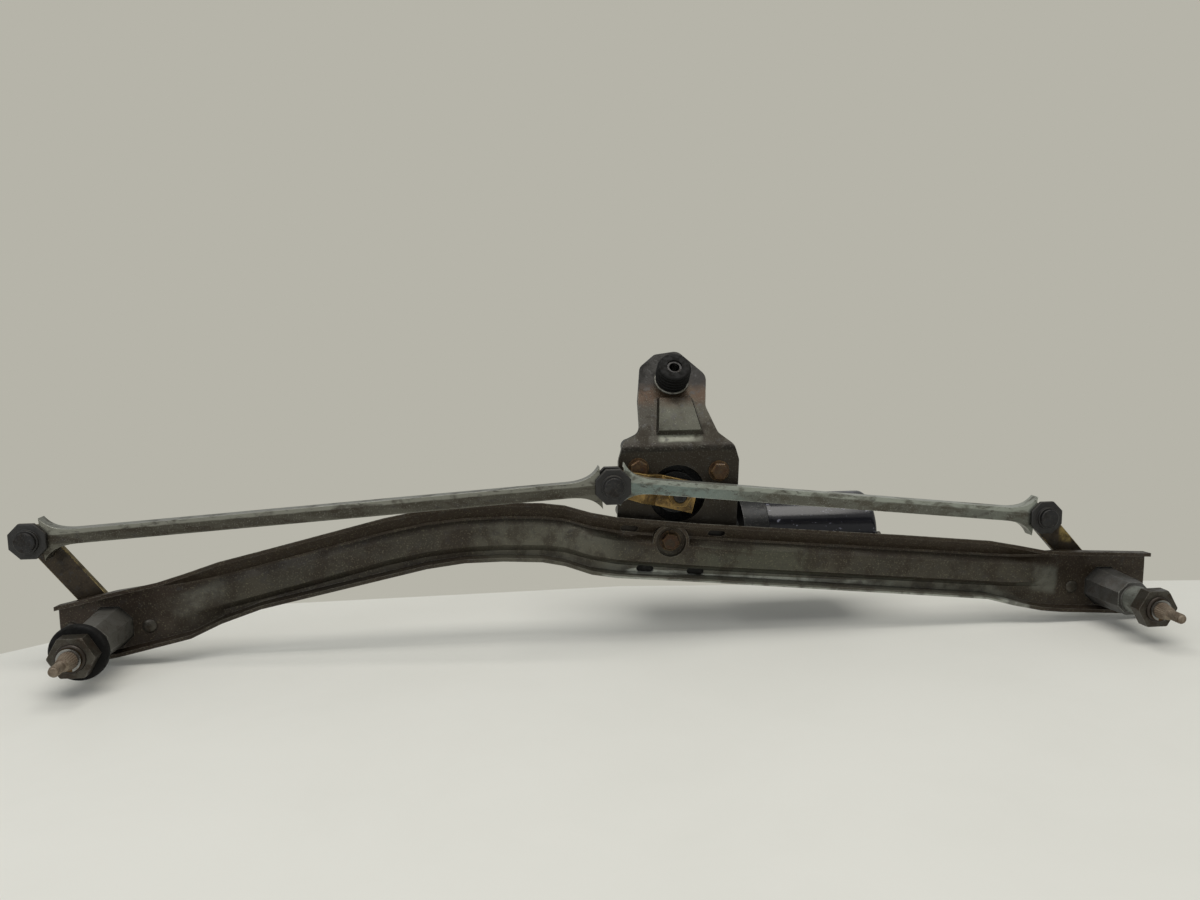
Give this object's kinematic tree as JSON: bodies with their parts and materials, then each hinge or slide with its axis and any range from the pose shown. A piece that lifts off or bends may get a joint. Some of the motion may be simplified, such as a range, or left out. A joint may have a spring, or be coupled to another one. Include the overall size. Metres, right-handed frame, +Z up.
{
  "type": "windshield wiper motor",
  "caption": "Wiper motor and linkage: pressed beam, worm-geared motor on a bracket, crank, channel link rods and wiper spindles in threaded hubs.",
  "frame": {"origin": "on the left wiper spindle axis, at the shoulder of the left hub that meets the cowl panel", "axes": "+X along the beam to the right spindle, -Y along the wiper spindles towards the wiper arms, +Z up"},
  "size_m": [0.7065, 0.1472, 0.178],
  "materials": {
    "zinc_steel": "zinc-plated pressed steel, dull and grimy with brown rust film",
    "cast_zinc": "die-cast, dull grey",
    "galvanised": "bright zinc-plated steel",
    "yellow_zinc": "yellow passivated zinc with dark grime",
    "grey_steel": "dull grey plated steel",
    "worn_steel": "steel with a tan film of rust",
    "bare_steel": "bare steel",
    "rubber": "black rubber",
    "dark_plastic": "dark grey moulded plastic",
    "pale_plastic": "pale moulded plastic",
    "bronze": "sintered bronze",
    "black_paint": "glossy black paint",
    "ferrite": "dark ferrite and carbon",
    "copper": "copper"
  },
  "bodies": {
    "frame": {"cross_beam": "zinc_steel", "motor_bracket": "zinc_steel", "bracket_grommet": "rubber", "grommet_sleeve": "grey_steel", "grommet_cup": "grey_steel", "motor_bolts": "yellow_zinc", "left_spindle_housing": "cast_zinc", "right_spindle_housing": "cast_zinc", "spindle_bushes": "bronze", "housing_rivets": "grey_steel", "hub_nuts": "grey_steel", "left_hub_gasket": "rubber", "gearbox_housing": "cast_zinc", "gearbox_cover": "grey_steel", "cover_screws": "grey_steel", "output_bush": "bronze", "drive_bearing": "bronze", "rear_bearing": "bronze", "thrust_pad": "dark_plastic", "thrust_screw": "grey_steel", "motor_can": "black_paint", "can_screws": "grey_steel", "upper_magnet": "ferrite", "lower_magnet": "ferrite", "brush_plate": "dark_plastic", "carbon_brushes": "ferrite", "brush_springs": "bare_steel", "connector_socket": "dark_plastic", "connector_blades": "copper", "park_contacts": "copper"},
    "crank": {"motor_crank": "yellow_zinc", "crank_nut": "yellow_zinc", "crank_pin": "grey_steel", "output_shaft": "bare_steel", "wheel_circlip": "bare_steel", "worm_wheel": "pale_plastic", "park_disc": "yellow_zinc"},
    "left_link": {"left_link_rod": "galvanised", "left_outer_bush": "dark_plastic", "left_inner_bush": "dark_plastic", "left_arm_pin": "grey_steel"},
    "right_link": {"right_link_rod": "galvanised", "right_outer_bush": "dark_plastic", "right_inner_bush": "dark_plastic", "right_arm_pin": "grey_steel"},
    "left_spindle": {"left_spindle": "worn_steel", "left_spindle_arm": "yellow_zinc", "left_arm_rivet": "yellow_zinc", "left_spindle_circlip": "bare_steel", "left_thrust_washer": "bare_steel"},
    "right_spindle": {"right_spindle": "worn_steel", "right_spindle_arm": "yellow_zinc", "right_arm_rivet": "yellow_zinc", "right_spindle_circlip": "bare_steel", "right_thrust_washer": "bare_steel"},
    "armature": {"armature_shaft": "bare_steel", "armature_core": "bare_steel", "armature_windings": "copper", "commutator": "copper"}
  },
  "joints": [
    {"name": "crank_turn", "type": "hinge", "parent": "frame", "child": "crank", "pos_m": [0.341, 0, 0.0693], "axis": [0, 1, 0], "range_deg": [0, 165]},
    {"name": "left_link_pivot", "type": "hinge", "parent": "crank", "child": "left_link", "pos_m": [0.29685, 0, 0.08031], "axis": [0, 1, 0], "range_deg": [-164.71, 0]},
    {"name": "right_link_pivot", "type": "hinge", "parent": "crank", "child": "right_link", "pos_m": [0.29685, 0, 0.08031], "axis": [0, 1, 0], "range_deg": [-166.69, 0]},
    {"name": "left_wiper_swing", "type": "hinge", "parent": "frame", "child": "left_spindle", "pos_m": [0, 0, 0], "axis": [0, 1, 0], "range_deg": [0, 82.79]},
    {"name": "right_wiper_swing", "type": "hinge", "parent": "frame", "child": "right_spindle", "pos_m": [0.6255, 0, 0], "axis": [0, 1, 0], "range_deg": [0, 90.32]},
    {"name": "armature_spin", "type": "hinge", "parent": "frame", "child": "armature", "pos_m": [0.341, 0.07, 0.0343], "axis": [1, 0, 0], "range_deg": [0, 7260]}
  ],
  "couplings": [
    {"joint": "left_link_pivot", "follows": "crank_turn", "ratio": -0.9952},
    {"joint": "right_link_pivot", "follows": "crank_turn", "ratio": -1.0072},
    {"joint": "left_wiper_swing", "follows": "crank_turn", "ratio": 0.4987},
    {"joint": "right_wiper_swing", "follows": "crank_turn", "ratio": 0.54434},
    {"joint": "armature_spin", "follows": "crank_turn", "ratio": 44}
  ]
}
